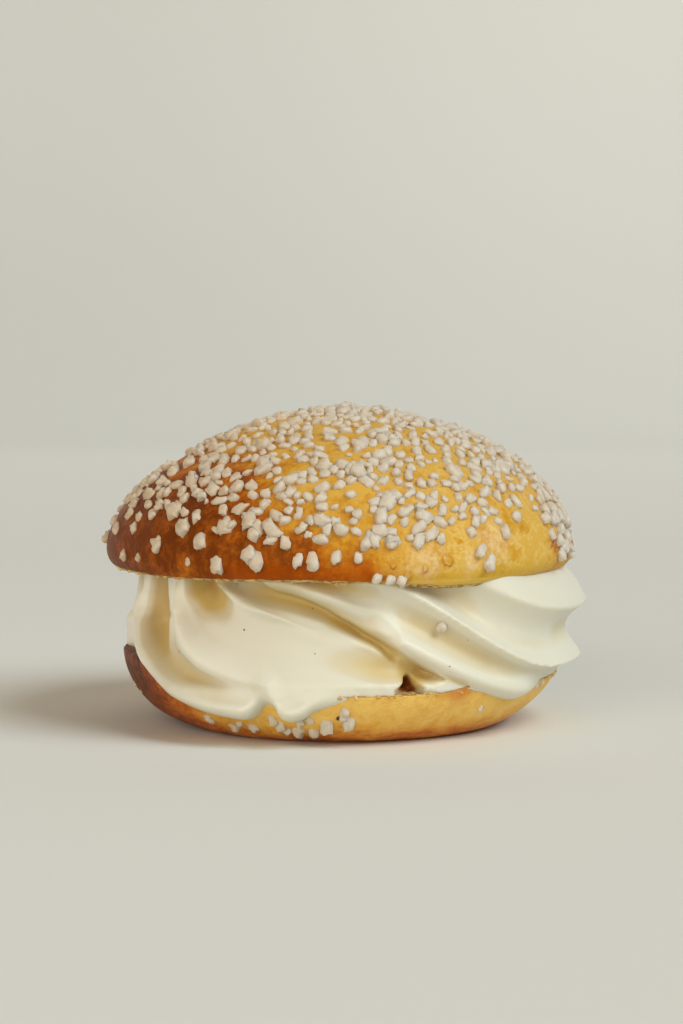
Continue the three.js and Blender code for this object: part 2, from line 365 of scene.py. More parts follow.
def base_ring(angle, share):
    foot = (share / BASE_FLOOR_SHARE).clamp()
    wall = ((share - BASE_FLOOR_SHARE) / BASE_WALL_SHARE).clamp()
    face = ((share - BASE_CUT_SHARE) / (1 - BASE_CUT_SHARE)).clamp()
    rim = BASE_CUT + rim_rise(angle)
    height = rim * wall ** BASE_RING_PACE
    below = 1 - height / BUN_WIDEST
    side = (1 - below ** BASE_POWER) ** (1 / BASE_POWER)
    swell = BASE_SWELL * (degrees_wave(angle, 4, 20) + degrees_wave(angle, 6, 75)) * wall
    squeeze = STEP_SQUEEZE / STEP_RISE * (rim - BASE_CUT) * wall ** 2
    forward = angle.cos() * BASE_FORWARD * (1 - wall)
    radius = (forward + BASE_FLAT) * foot + side * (BUN_RADIUS - BASE_FLAT) + swell - squeeze
    inner = 1 - face
    # the step in the rim levels out over the outer third of the cut face
    cut = BASE_CUT + rim_rise(angle) * (inner * 3 - 2).smooth(0, 1) + BASE_CROWN * (1 - inner ** 2)
    on_face = face.smooth(0, 0.001)
    return radius * inner, height * (1 - on_face) + cut * on_face


def baked(place, golden, stops, unevenness=1.0):
    """Crust colours by how golden the crust is, mottled and with the streaks of the egg wash."""
    drawn_out = place.node("ShaderNodeVectorMath", {0: place, 1: (1, 1, 0.25)}, operation="MULTIPLY")
    streaks = drawn_out.uneven(1.6 * MM, 2) * 0.4
    mottle = place.uneven(5 * MM, 3) * 1.1 + place.uneven(1.2 * MM, 3, 0.7) * 0.8 + streaks
    return golden.node("ShaderNodeValToRGB", {0: (golden + mottle * unevenness).clamp()}, stops=stops)


def crust_height(place):
    """The fine leathery relief of a crust, in metres."""
    return place.noise(2.4 * MM, 2) * (0.3 * MM) + place.noise(0.6 * MM, 2, 0.6) * (0.1 * MM)


def stored(place, name):
    """A value that the mesh has at the place."""
    return place.node("ShaderNodeAttribute", output=2, attribute_name=name)


def from_spot(place, angle, height, reach):
    """How far a place is from a spot on a wall, whose angle is in degrees. reach is the wall's radius."""
    x, y, z = place.split()
    around = ((x - AXIS_X).math("ARCTAN2", x - AXIS_X, y * -1) - math.radians(angle)) * reach
    return (around * around + (z - height) ** 2) ** 0.5


# painted shade: the pores of the crumb are painted darker
PORE_SHADE_COLOR = (0.4, 0.17, 0.035, 1)
CRUMB_COLOR = (0.72, 0.5, 0.19, 1)


def crumb_look(place):
    """Colour and relief of the open yellow crumb inside a brioche, with painted shade in its pores."""
    pores = place.noise(1.3 * MM, 3, 0.7).smooth(0.36, 0.56)
    color = pores.mix(PORE_SHADE_COLOR, CRUMB_COLOR)
    return color, pores * (0.35 * MM) + place.noise(0.4 * MM, 2) * (0.12 * MM)


# crust colours from the brownest to the most golden
BASE_STOPS = [(0.0, (0.085, 0.021, 0.006)), (0.25, (0.3, 0.066, 0.01)), (0.45, (0.6, 0.17, 0.016)),
              (0.7, (0.75, 0.39, 0.055)), (1.0, (0.84, 0.55, 0.135))]
BASE_UNEVENNESS = 0.6
# a small burnt pit in the front
PIT_ANGLE = -0.3
PIT_HEIGHT = 6.2 * MM
PIT_RADIUS = 0.55 * MM
PIT_REACH = 43 * MM
PIT_DEPTH = 0.6 * MM
PIT_COLOR = (0.08, 0.02, 0.005, 1)
# painted shadow: where the cream hangs over it, the crust is painted a darker orange-brown, standing in for
# the cream's shadow
OVERHANG_SHADE_ANGLE = 31
OVERHANG_SHADE_HEIGHT = 12.4 * MM
OVERHANG_SHADE_RADIUS = 6 * MM
OVERHANG_SHADE_REACH = 47 * MM
OVERHANG_SHADE_COLOR = (0.58, 0.17, 0.02, 1)

crust_base, shader, place = material("base crust", 0.5, specular=0.25)
x, y, z = place.split()
lit_side = ((x - AXIS_X) / BUN_RADIUS).smooth(-0.93, -0.32)
above_foot = (z + place.noise(7 * MM, 1) * (1.6 * MM)).smooth(0.9 * MM, 7.5 * MM)
base_color = baked(place, lit_side * (above_foot * 0.5 + 0.36) + 0.08, BASE_STOPS, BASE_UNEVENNESS)
pit = from_spot(place, PIT_ANGLE, PIT_HEIGHT, PIT_REACH).smooth(PIT_RADIUS, 0.25 * MM)
base_color = pit.mix(base_color, PIT_COLOR)
# painted shadow under the cream's overhang, with an uneven edge
overhang_shade = from_spot(place, OVERHANG_SHADE_ANGLE, OVERHANG_SHADE_HEIGHT, OVERHANG_SHADE_REACH) + place.uneven(2 * MM, 2) * (2 * MM)
base_color = (overhang_shade.smooth(OVERHANG_SHADE_RADIUS, 1 * MM) * 0.8).mix(base_color, OVERHANG_SHADE_COLOR)
bare = (stored(place, "crumb") + place.uneven(1.4 * MM, 2) * 0.7).smooth(0.35, 0.55)
bare = bare * z.smooth(BASE_CUT + 2.4 * MM, BASE_CUT + 1.2 * MM)
crumb_color, crumb_height = crumb_look(place)
plug(shader, "Base Color", bare.mix(base_color, crumb_color))
raise_surface(shader, crust_height(place) - pit * PIT_DEPTH + crumb_height * bare)
base = round_piece("base_crust", crust_base, around=300, rings=130, ring_at=base_ring,
                   relief=(22 * MM, 0.25 * MM, 1.3 * MM),
                   crumb_edge=(BASE_CUT_SHARE - 0.015, BASE_CUT_SHARE + 0.005))
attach(base, "root")
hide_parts("brioche_base")

# Cream. Whipped vanilla cream, piped on the base with a star nozzle in four overlapping strokes round
# a filled middle. Each stroke comes out from under the lid, falls towards the base and keeps the
# nozzle's three ridges; the lid then presses it flat on top.
LID_RADIUS = (lid_high.x - lid_low.x) / 2
LID_WIDEST = 37.1 * MM  # the height at which the lid is widest
LID_TOP = lid_high.z
LID_CUT = 33.1 * MM
LID_CUT_RADIUS = 46.6 * MM

# The strokes are worked out in millimetres and degrees, counted from the front towards +X. A ridge
# comes out from under the lid at start, falls over span, sooner with a smaller bend, and rests at height
# rest. reach is its distance from the axis once it is down and out its distance at the lid. The hem, the
# lowest ridge, is drawn in by the share that hem gives at an angle, towards the radius and height of
# drawn. hollows are the depths of the grooves, lowest first, and past tail the stroke narrows to its end.
CREAM_CORE = 40.5  # radius of the filled middle
CREAM_ROOT = 29.0  # radius at which the strokes end inside it
BASE_EDGE = 47.6  # how far the cream reaches where it lies on the base
ROLL_DROP = 2.8  # how far the hem curls down and in below its ridge
ROLL_INSET = 5.0
ROLL_STEPS = 12
TUCK_ANGLE = 13  # over which the hem of a stroke is drawn in at its end
PRESSED = 0.6  # how far the ridges are pressed up into the lid
UNDER_LID = 6.0  # how much higher a ridge goes on, hidden by the lid
UNDER_LID_FADE = 15
CROWN_INSET = 4.2  # where the upper side of a stroke meets the lid
CROWN_RISE = 7.6
HOLLOW_LEAN = 0.88  # 1 would put the deepest place of a groove halfway between its ridges
HOLLOW_POINTS = 16
TAIL_ANGLE = 24
TAIL_RADIUS = 33.0
TAIL_SHRINK = 0.85
TAIL_LEVEL = 0.35
STROKE_STEP = 1.5  # between two sections
CORE_POINTS = 96
VOXEL = 0.6 * MM
SOFT_STEPS = 6
front_stroke = {
    "tail": 13,
    "hollows": (3.2, 1.3, 5),
    "hem": ((-23.5, 0), (-21.5, 0.3), (-19.4, 0.95), (-16.6, 0.95), (-15.2, 0.3), (-14, 0), (-11, 0),
            (-8.8, 0.2), (-7.2, 0.55), (-4, 0.75), (0, 0.92), (6, 1)),
    "drawn": (46.9, 11.3),
    "ridges": [
        {"start": -86, "span": 64, "bend": 0.55, "rest": 8.2, "reach": 49.5, "out": 42.8},
        {"start": -52, "span": 40, "bend": 0.38, "rest": 12.8, "reach": 47.4, "out": 41},
        {"start": -46, "span": 86, "bend": 0.7, "rest": 16.6, "reach": 44.5, "out": 41.5},
    ],
}
regular_ridges = [
    {"start": 0, "span": 76, "bend": 0.82, "rest": 11, "reach": 49, "out": 46},
    {"start": 23, "span": 55, "bend": 0.95, "rest": 14.4, "reach": 52, "out": 46.5},
    {"start": 52, "span": 36, "bend": 0.5, "rest": 25.9, "reach": 53, "out": 47},
]
# the other strokes: where each starts, its length up to the tail, how long its hem stays out, how much
# higher and how much closer in its ridges are than the regular ones, and how deep its grooves are
turned_strokes = [
    {"start": -18, "tail": 112, "stay": 68,
     "lift": (-0.9, -0.3, 0), "slim": (0, 0, 0), "hollows": (3.3, 4.2, -1)},
    {"start": 80, "tail": 112, "stay": 72,
     "lift": (0.3, 0.6, 0.6), "slim": (0.5, 2, 3), "hollows": (2.2, 3.2, -1)},
    {"start": 176, "tail": 91, "stay": 110,
     "lift": (5.4, 7, 5), "slim": (2.6, 5.4, 10), "hollows": (0.4, 1.5, 0)},
]


def around_axis(radius, turn):
    return AXIS_X + radius * math.sin(turn), -radius * math.cos(turn)


def smooth_step(value):
    value = min(max(value, 0), 1)
    return value * value * (3 - 2 * value)


def ridge_at(ridge, angle):
    """Radius and height of a ridge at an angle."""
    along = min(max((angle - ridge["start"]) / ridge["span"], 0), 1)
    fall = 0.5 + 0.5 * math.cos(math.pi * along ** ridge["bend"])
    above = UNDER_LID * (1 - math.exp(-max(ridge["start"] - angle, 0) / UNDER_LID_FADE))
    radius = ridge["reach"] + (ridge["out"] - ridge["reach"]) * fall
    return radius, ridge["rest"] + (LID_CUT / MM + PRESSED - ridge["rest"]) * fall + above


def hollow(start, end, depth):
    """The points of a groove from one ridge down to the next, without its end."""
    length = math.hypot(end[0] - start[0], end[1] - start[1])
    inward = ((end[1] - start[1]) / length, (start[0] - end[0]) / length)
    room = max(start[1] - end[1] - 0.5, 0) / 2
    points = []
    for step in range(HOLLOW_POINTS):
        share = step / HOLLOW_POINTS
        sink = min(depth, room) * math.sin(math.pi * share ** HOLLOW_LEAN) ** 1.15
        points.append([start[axis] + (end[axis] - start[axis]) * share + inward[axis] * sink
                       for axis in (0, 1)])
    return points


def stroke_section(stroke, angle):
    """The outline of a stroke at an angle: under the lid, down over its three ridges, round and back in."""
    low, middle, high = (ridge_at(ridge, angle) for ridge in stroke["ridges"])
    drawn = np.interp(angle, *zip(*stroke["hem"]))
    low = [own + (there - own) * drawn for own, there in zip(low, stroke["drawn"])]
    cut = LID_CUT / MM
    crown = (min(high[0] - CROWN_INSET, LID_CUT_RADIUS / MM - 1), max(high[1] + CROWN_RISE, cut + 2))
    outline = [[CREAM_ROOT, crown[1]]]
    outline += hollow(crown, high, stroke["hollows"][2])
    outline += hollow(high, middle, stroke["hollows"][1])
    edge = min(BASE_EDGE, low[0])
    for radius, height in hollow(middle, low, stroke["hollows"][0]):
        beside = smooth_step((BASE_CUT / MM + 2 - height) / 2)
        outline.append([max(radius, radius + (edge - radius) * beside), height])
    for step in range(ROLL_STEPS + 1):
        turn = math.pi / 2 * step / ROLL_STEPS
        outline.append([low[0] - ROLL_INSET * (1 - math.cos(turn)), low[1] - ROLL_DROP * math.sin(turn)])
    outline.append([CREAM_ROOT, low[1] - ROLL_DROP])
    shrink = TAIL_SHRINK * smooth_step((angle - stroke["tail"]) / TAIL_ANGLE)
    turn = math.radians(angle)
    section = []
    for radius, height in outline:
        radius += (TAIL_RADIUS - radius) * shrink
        height += TAIL_LEVEL * (middle[1] - height) * shrink
        section.append((*around_axis(radius * MM, turn), height * MM))
    return section


def loft(mesh, sections):
    """A closed skin through sections of equal count."""
    rows = [[mesh.verts.new(point) for point in section] for section in sections]
    for row, following in zip(rows, rows[1:]):
        for index, vertex in enumerate(row):
            mesh.faces.new((vertex, row[index - 1], following[index - 1], following[index]))
    mesh.faces.new(rows[0])
    mesh.faces.new(reversed(rows[-1]))


strokes = [front_stroke]
for turned in turned_strokes:
    ridges = [{**ridge, "start": ridge["start"] + turned["start"], "rest": ridge["rest"] + lift,
               "reach": ridge["reach"] - slim}
              for ridge, lift, slim in zip(regular_ridges, turned["lift"], turned["slim"])]
    end = turned["stay"] + turned["start"]
    strokes.append({"tail": turned["tail"] + turned["start"], "hollows": turned["hollows"], "ridges": ridges,
                    "hem": ((end, 0), (end + TUCK_ANGLE, 1)),
                    "drawn": (ridges[0]["reach"] - 2.5, ridges[0]["rest"] + 1.25)})
body = bmesh.new()
for stroke in strokes:
    first = stroke["ridges"][0]["start"] - 2
    count = math.ceil((stroke["tail"] + TAIL_ANGLE - first) / STROKE_STEP)
    loft(body, [stroke_section(stroke, first + step * STROKE_STEP) for step in range(count + 1)])
core_circle = [around_axis(CREAM_CORE * MM, math.tau * step / CORE_POINTS) for step in range(CORE_POINTS)]
loft(body, [[(x, y, height) for x, y in core_circle] for height in (BASE_CUT - 2 * MM, LID_CUT + 2 * MM)])
bmesh.ops.recalc_face_normals(body, faces=body.faces)
cream_mesh = bpy.data.meshes.new("piped_cream")
body.to_mesh(cream_mesh)
body.free()
cream = put("piped_cream", cream_mesh)
fused = cream.modifiers.new("fused", "REMESH")
fused.mode = "VOXEL"
fused.voxel_size = VOXEL
soft = cream.modifiers.new("soft", "SMOOTH")
soft.factor = 0.5
soft.iterations = SOFT_STEPS
cream = settled(cream)
cream_mesh = cream.data

# What the nozzle and the lid left in the front strokes. Each is half of its width and a way along the
# surface, as angle, height and how far it stands out or is sunk there, in degrees and millimetres.
touches = [
    (3.6, ((-70.5, 21.5, 0.5), (-64, 18, 0.9), (-59, 15, 1.1), (-46, 10.8, 0.8), (-32, 8.6, 0.5),
           (-22, 8.4, 0.2))),
    (5, ((-72.5, 37, 1.5), (-71.5, 31, 2.8), (-71, 28, 3), (-70.5, 25.5, 1), (-70, 23.5, 0))),
    (10, ((-60, 38, 1), (-59.5, 31, 1.3), (-59, 28, 1.3), (-58, 26, 0.8), (-57, 24.5, 0))),
    (6, ((-51.5, 37, 0.8), (-51.5, 28, 1), (-52, 24, 1.6), (-49.5, 21.5, 1.9), (-47.5, 20, 2.1),
         (-45, 18, 2.1), (-42, 16, 2), (-38, 14, 1.7), (-32, 12.4, 1.1), (-24, 11.2, 0.4), (-16, 11, 0))),
    (4.2, ((-64.5, 25, -0.5), (-62, 22.5, -1.2), (-58.5, 20, -1.9), (-55, 16.5, -2.2), (-51.5, 14.4, -1.5),
           (-48, 12.8, -0.9), (-44, 11.8, 0))),
    (4, ((-48.5, 36, 1.2), (-47.8, 31.6, 2), (-47.3, 26.2, 1.9), (-44.8, 21, 1.2), (-36.8, 17.2, 1.2),
         (-28, 14.8, 0.8), (-18, 13, 0))),
    (4.5, ((-63.5, 37, -1.6), (-63, 30, -1.8), (-62, 25, -1.2), (-60, 21, -0.6), (-56, 17, 0))),
    (4.2, ((-44.5, 37, -2.2), (-43, 32.5, -2.8), (-39.5, 30, -2.6), (-35, 28.6, -1.6), (-30, 27.4, 0))),
    (1.6, ((-38, 34.5, 0.8), (-36, 32.2, 1.2), (-31.5, 30.2, 1.2), (-26.8, 28.4, 0.6), (-22, 27.6, 0))),
    (1.9, ((-27, 28.2, 0.6), (-22, 27.7, 1.7), (-13, 26.3, 1.8), (-1.5, 23.8, 1.4), (8, 20.8, 1),
           (13.2, 18.2, 0))),
    (2.9, ((-33, 33, -0.4), (-24, 31.4, -1), (-13, 29.8, -1.8), (-3, 27.8, -2.5), (8, 24.8, -2.6),
           (12, 22.6, -1.5))),
    (1.9, ((-6, 25.8, 0), (2, 24.2, -1.3), (9.5, 21.5, -1.5), (14, 18.6, -1.2))),
    (5, ((36, 28, 0), (42, 26.4, 0.6), (49, 24.4, 1), (58, 22.6, 0.9), (66, 21, 0))),
    (3.2, ((-20.5, 15, 0.2), (-18, 12.8, 1.1), (-17, 11, 1.2))),
    (1.8, ((15.2, 11.2, -3), (17, 12.2, -4), (17.8, 13.4, -3))),
    (1.8, ((17.8, 12.6, -3), (19.8, 11.2, -4))),
]
# the foot of the second stroke, spread out on the base as far as WEDGE_REACH
wedge = [(3.4, ((22.6, 12, 3.5), (25, 12, 6.5), (28, 12, 8), (31, 11.8, 7), (34.5, 12, 2)))]
WEDGE_REACH = 46.5
# painted shade: ways where the cream lies deep between two swirls, painted darker and more golden as their
# shade and light bounced from the crust would make it; each with the depth
deep = [
    (6, ((-63.5, 35, 3.6), (-63.5, 28, 3.4), (-63, 24, 3), (-59, 20, 2.1), (-52, 16.6, 1.4),
         (-42, 14.8, 1.3), (-32, 12.6, 0.6))),
    (6, ((-44, 35, 3), (-42.5, 31.5, 3.6), (-38.5, 29.4, 3.2), (-34, 28.2, 1.4), (-28, 27.2, 0.2))),
    (4.4, ((-33, 33, 0.6), (-24, 31.2, 1.2), (-13, 29.6, 1.6), (-3, 27.6, 1.9), (8, 24.6, 1.5),
           (12, 22.6, 1))),
    (7, ((-6, 18.5, 0), (0, 18.6, 0.7), (6, 17.8, 1.6), (10, 16.2, 2), (14, 14, 2))),
    (3.5, ((18, 14.4, 2), (24, 13, 2.6), (31, 12, 2.2))),
    (5, ((38, 27, -0.4), (49, 24.5, -0.8), (60, 22.5, -0.6))),
    (4.5, ((-52, 12, 0.4), (-44, 9.8, 0.6), (-34, 8.6, 0.7), (-24, 8.6, 0.6), (-20, 9, 0.2))),
    (2, ((-2, 25, 0.9), (3, 24, 1.2), (9.5, 21.5, 1), (14, 18.6, 0.5))),
    (5, ((14, 27, 0), (19, 24.6, 0.9), (25, 22, 0.9), (36, 17, 0.8), (46, 12, 0.4))),
    (4, ((2, 30, -0.3), (8, 28, -0.8), (12, 26.4, -0.8), (16, 25, 0))),
    (2.5, ((14, 20, 0.6), (19, 16, 0.7), (23, 14, 0.2))),
    (2.4, ((-20, 33, 2.2), (-5, 32.6, 2.2), (8, 32, 1.4))),
]


CREAM_REACH = 46.0  # of the swirls from the axis, on average
BROAD_STEPS = 140  # of smoothing, to tell the grooves from the ridges
TINT_STEPS = 8  # of smoothing, since light blurs the tint inside the cream


def positions(mesh):
    spots = np.empty(len(mesh.vertices) * 3)
    mesh.vertices.foreach_get("co", spots)
    return spots.reshape(-1, 3)


def unrolled(spots):
    """The way round the axis and the height of each spot, in millimetres."""
    angle = np.arctan2(spots[:, 0] - AXIS_X, -spots[:, 1])
    return np.column_stack([angle * CREAM_REACH, spots[:, 2] / MM])


def along_ways(flat, ways):
    """What the ways give at each spot of the unrolled surface, fading out towards their sides."""
    total = np.zeros(len(flat))
    for half_width, way in ways:
        turns = np.array(way, float) * (math.pi / 180 * CREAM_REACH, 1, 1)
        nearest = np.full(len(flat), np.inf)
        amount = np.zeros(len(flat))
        for begin, end in zip(turns, turns[1:]):
            run = (end - begin)[:2]
            along = np.clip((flat - begin[:2]) @ run / (run @ run), 0, 1)
            off = np.linalg.norm(flat - begin[:2] - along[:, None] * run, axis=1)
            amount = np.where(off < nearest, begin[2] + along * (end - begin)[2], amount)
            nearest = np.minimum(nearest, off)
        total += amount * np.clip(1 - (nearest / half_width) ** 2, 0, 1) ** 2
    return total


spots = positions(cream_mesh)
outward = (spots - (AXIS_X, 0, 0)) * (1, 1, 0)
across = np.linalg.norm(outward, axis=1)[:, None]
moved = along_ways(unrolled(spots), touches)[:, None] * MM
spread = along_ways(unrolled(spots), wedge)[:, None] * MM
moved = moved + np.minimum(spread, (WEDGE_REACH * MM - across).clip(0))
moved[across < (CREAM_CORE - 4) * MM] = 0  # what is hidden inside stays
cream_mesh.vertices.foreach_set("co", (spots + moved * outward / across.clip(MM)).ravel())
cream_mesh.shade_smooth()


def mark_shade_depth(mesh, steps):
    """Stores how deep each place lies under the broad surface, in metres, plus the painted shade of the deep
    ways, as the attribute groove, which sets the painted shade.
    """
    spots = positions(mesh)
    count = len(spots)
    normals = np.empty(count * 3)
    pairs = np.empty(len(mesh.edges) * 2, int)
    mesh.vertices.foreach_get("normal", normals)
    mesh.edges.foreach_get("vertices", pairs)
    normals, pairs = normals.reshape(-1, 3), pairs.reshape(-1, 2)
    one, other = np.concatenate([pairs, pairs[:, ::-1]]).T
    ways = np.bincount(one, minlength=count)[:, None]
    broad = spots
    for _ in range(steps):
        around = np.column_stack([np.bincount(one, broad[other, axis], count) for axis in range(3)])
        broad = (broad + around / ways) / 2
    depth = ((broad - spots) * normals).sum(axis=1) + along_ways(unrolled(spots), deep) * MM
    for _ in range(TINT_STEPS):
        depth = (depth + np.bincount(one, depth[other], count) / ways[:, 0]) / 2
    mesh.attributes.new("groove", "FLOAT", "POINT").data.foreach_set("value", depth)


mark_shade_depth(cream_mesh, BROAD_STEPS)
# painted shade by depth: shallow, deep and deepest, each darker and more golden, standing in for shade in
# the grooves
RIDGE_COLOR = (0.73, 0.715, 0.6, 1)
SHALLOW_SHADE_COLOR = (0.68, 0.615, 0.44, 1)
DEEP_SHADE_COLOR = (0.64, 0.475, 0.17, 1)
DEEPEST_SHADE_COLOR = (0.5, 0.24, 0.05, 1)
# painted light and shade on the left: above the hem the ridges are painted paler and the deep grooves
# darker, standing in for how the light falls there
LEFT_PAINTED_LIGHT_COLOR = (0.84, 0.83, 0.73, 1)
LEFT_DEEP_SHADE_COLOR = (0.5, 0.36, 0.16, 1)
# the gap that the two front strokes leave at the rim: the cream in it is painted dark brown, the bun's
# colour darkened by painted shade
GAP_REACH = 40.8 * MM
GAP_TURN = math.radians(17.8)
GAP_SPOT = (*around_axis(GAP_REACH, GAP_TURN), BASE_CUT + 0.5 * MM)
GAP_RADIUS = 3.6 * MM
GAP_BUN_AND_SHADE_COLOR = (0.3, 0.09, 0.018, 1)

cream_finish, shader, place = material("whipped cream", 0.42, 0.5, 0.35, (0.003, 0.0022, 0.0012))
groove = stored(place, "groove")
x, y, z = place.split()
above_hem = z.smooth(11 * MM, 19 * MM)
# painted light: paler cream towards the left, above the hem
ridge_and_left_light_color = ((x - AXIS_X).smooth(-12 * MM, -28 * MM) * above_hem).mix(RIDGE_COLOR, LEFT_PAINTED_LIGHT_COLOR)
# painted shade: darker grooves towards the left, above the hem
deep_shade_color = ((x - AXIS_X).smooth(-33 * MM, -40 * MM) * above_hem).mix(DEEP_SHADE_COLOR, LEFT_DEEP_SHADE_COLOR)
# painted shade: darker and more golden the deeper a place lies, by the groove attribute
cream_color = groove.smooth(0.1 * MM, 0.9 * MM).mix(ridge_and_left_light_color, SHALLOW_SHADE_COLOR)
cream_color = groove.smooth(0.8 * MM, 2.6 * MM).mix(cream_color, deep_shade_color)
cream_color = groove.smooth(3.6 * MM, 5.6 * MM).mix(cream_color, DEEPEST_SHADE_COLOR)
# painted shade: a dark brown patch on the cream in the gap
in_gap = (place.away(GAP_SPOT) + place.uneven(1.5 * MM, 2) * MM).smooth(GAP_RADIUS, 2.2 * MM)
plug(shader, "Base Color", in_gap.mix(cream_color, GAP_BUN_AND_SHADE_COLOR))
cream_mesh.materials.clear()
cream_mesh.materials.append(cream_finish)
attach(cream, "root")
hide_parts("cream_filling")

# Lid. The domed upper half of the bun: egg-washed brioche, baked brown at the front left and golden
# towards the top and the right. Its rim curls under to the knife cut, where a thin pale line of crumb shows.
LID_CUT_SHIFT = 0.7 * MM  # how far the cut face lies to the left
LID_POWER = 1.76  # roundness of the dome: 2 would be an ellipse
LID_LEAN = 1.4 * MM  # how much fuller its right shoulder is
LID_SWELL = 0.35 * MM
LID_DROOP = 0.35 * MM
LID_LIFT = 0.6 * MM
LID_LIFT_MIDDLE = math.radians(352)
LID_LIFT_HALF = math.radians(36)
LID_SAG = 1.0 * MM
LID_SAG_MIDDLE = math.radians(29)
LID_SAG_HALF = math.radians(24)
LID_FACE_SHARE = 0.2  # of the rings: the cut face
LID_CURL_SHARE = 0.16  # then the curl of the rim; the rest is the dome


def lid_ring(angle, share):
    face = (share / LID_FACE_SHARE).clamp()
    curl = ((share - LID_FACE_SHARE) / LID_CURL_SHARE).clamp() * (math.pi / 2)
    dome = (share - LID_FACE_SHARE - LID_CURL_SHARE) / (1 - LID_FACE_SHARE - LID_CURL_SHARE)
    dome = dome.clamp() * (math.pi / 2)
    cut_radius = LID_CUT_RADIUS - angle.sin() * LID_CUT_SHIFT
    rim = cut_radius * face + (LID_RADIUS - cut_radius) * curl.sin()
    from_lift = math.pi - abs(math.pi - abs(angle - LID_LIFT_MIDDLE))
    lift = from_lift.smooth(LID_LIFT_HALF, 0) * LID_LIFT
    sag = abs(angle - LID_SAG_MIDDLE).smooth(LID_SAG_HALF, 0) * LID_SAG
    cut = LID_CUT + (lift - sag - (angle - math.radians(35)).cos() * LID_DROOP) * rim / LID_RADIUS
    inward = dome.cos()
    rise = (1 - inward ** LID_POWER).clamp() ** (1 / LID_POWER)
    swell = degrees_wave(angle, 3, 40) + degrees_wave(angle, 5, 110) * 0.7 + degrees_wave(angle, 8, 0) * 0.5
    shoulder = inward ** 2 * (1 - inward ** 2) * 4
    height = cut + (LID_WIDEST - cut) * (1 - curl.cos()) + (LID_TOP - LID_WIDEST) * rise
    return rim * inward, height + shoulder * (angle.sin() * LID_LEAN + swell * LID_SWELL)


LID_STOPS = [(0.0, (0.17, 0.038, 0.004)), (0.25, (0.31, 0.077, 0.007)), (0.42, (0.45, 0.13, 0.011)),
             (0.55, (0.48, 0.18, 0.014)), (0.75, (0.59, 0.29, 0.026)), (1.0, (0.67, 0.405, 0.072))]
TOFFEE_COLOR = (0.5, 0.09, 0.002, 1)  # the dark band low down at the front
HONEY_COLOR = (0.66, 0.4, 0.035, 1)  # low down at the right
UNDER_RIM_COLOR = (0.75, 0.5, 0.1, 1)
DUST_COLOR = (0.76, 0.56, 0.32, 1)
VEIN_COLOR = (0.82, 0.64, 0.26, 1)  # fine pale cracks in the egg wash
BLISTER_COLOR = (0.6, 0.2, 0.02, 1)
# round the lumps on the golden side: partly melted sugar, partly painted shade
LUMP_SHADE_AND_CARAMEL_COLOR = (0.64, 0.37, 0.085, 1)
LUMP_SHADE_RING = 1.3 * MM  # how far the crust is changed round each lump of sugar
BROWN_PATCH = (AXIS_X - 24.5 * MM, -30 * MM, 53 * MM)
PALE_PATCH = (AXIS_X - 7.5 * MM, -42 * MM, 48 * MM)
LID_REACH = 49 * MM
# degrees, height and radius in millimetres
BLISTERS = [(25, 37.6, 1.3), (19.5, 36, 0.8), (15.5, 34.8, 1), (9.5, 34.8, 0.8), (4.5, 38, 0.8),
            (12, 37, 0.7)]
HAZE = [(20, 37.4, 5), (31, 36.8, 3.6), (39, 41.5, 6)]  # where sugar melted

crust_lid, shader, place = material("lid crust", 0.42, specular=0.08)
shader.inputs["Specular Tint"].default_value = (1, 0.6, 0.25, 1)
x, y, z = place.split()
risen = (z - LID_CUT) / (LID_TOP - LID_CUT)
aside = (x - AXIS_X) / LID_RADIUS
low = (z + place.uneven(6 * MM, 2) * (7 * MM)).smooth(40 * MM, 35.5 * MM)
toffee = low * aside.smooth(-0.6, -0.35) * aside.smooth(0.32, 0.08)
right_end = aside.smooth(0.76, 0.9) * z.smooth(44 * MM, 39 * MM)
# more golden to the right and towards the top, browner in the dark band and at the right end
golden = aside * 1.25 + risen * 1.3 - 0.35 + place.uneven(15 * MM, 1) * 0.7
golden = golden - place.away(BROWN_PATCH).smooth(17 * MM, 6 * MM) * 0.3
golden = golden + place.away(PALE_PATCH).smooth(11 * MM, 4 * MM) * 0.25
golden = golden + low * 0.55 - toffee * 0.68 - right_end * 1.3
golden_share = golden.smooth(-1.05, 0.75)
lid_color = baked(place, golden_share, LID_STOPS)
lid_color = (toffee * 0.5).mix(lid_color, TOFFEE_COLOR)
lid_color = (low * aside.smooth(0.25, 0.45) * 0.4).mix(lid_color, HONEY_COLOR)
under_rim = z.smooth(LID_CUT + 0.9 * MM, LID_CUT + 0.6 * MM) * aside.smooth(0.08, 0.2)
lid_color = (under_rim * aside.smooth(0.8, 0.6) * 0.8).mix(lid_color, UNDER_RIM_COLOR)
for angle, level, radius in HAZE:
    apart = from_spot(place, angle, level * MM, LID_REACH) / (radius * MM) + place.uneven(2.2 * MM, 3) * 1.6
    dust = apart.smooth(1.0, 0.2) * (place.noise(1 * MM, 3, 0.7).smooth(0.35, 0.65) * 0.6 + 0.15)
    lid_color = dust.mix(lid_color, DUST_COLOR)
veins = abs(place.uneven(5 * MM, 4, 0.7)).smooth(0.05, 0) * aside.smooth(0.1, 0.4)
veins = veins * z.smooth(LID_CUT + 1.6 * MM, LID_CUT + 3 * MM)
lid_color = (veins * 0.35).mix(lid_color, VEIN_COLOR)
height = crust_height(place)
for angle, level, radius in BLISTERS:
    apart = from_spot(place, angle, level * MM, LID_REACH) + place.uneven(1.6 * MM, 1) * (1.2 * MM)
    inside = apart.smooth(radius * MM, (radius - 0.6) * MM)
    edge = apart.smooth((radius + 0.6) * MM, radius * MM) * (1 - inside)
    lid_color = (edge * 0.4).mix(lid_color, BLISTER_COLOR)
    height = height + inside * (0.35 * MM)
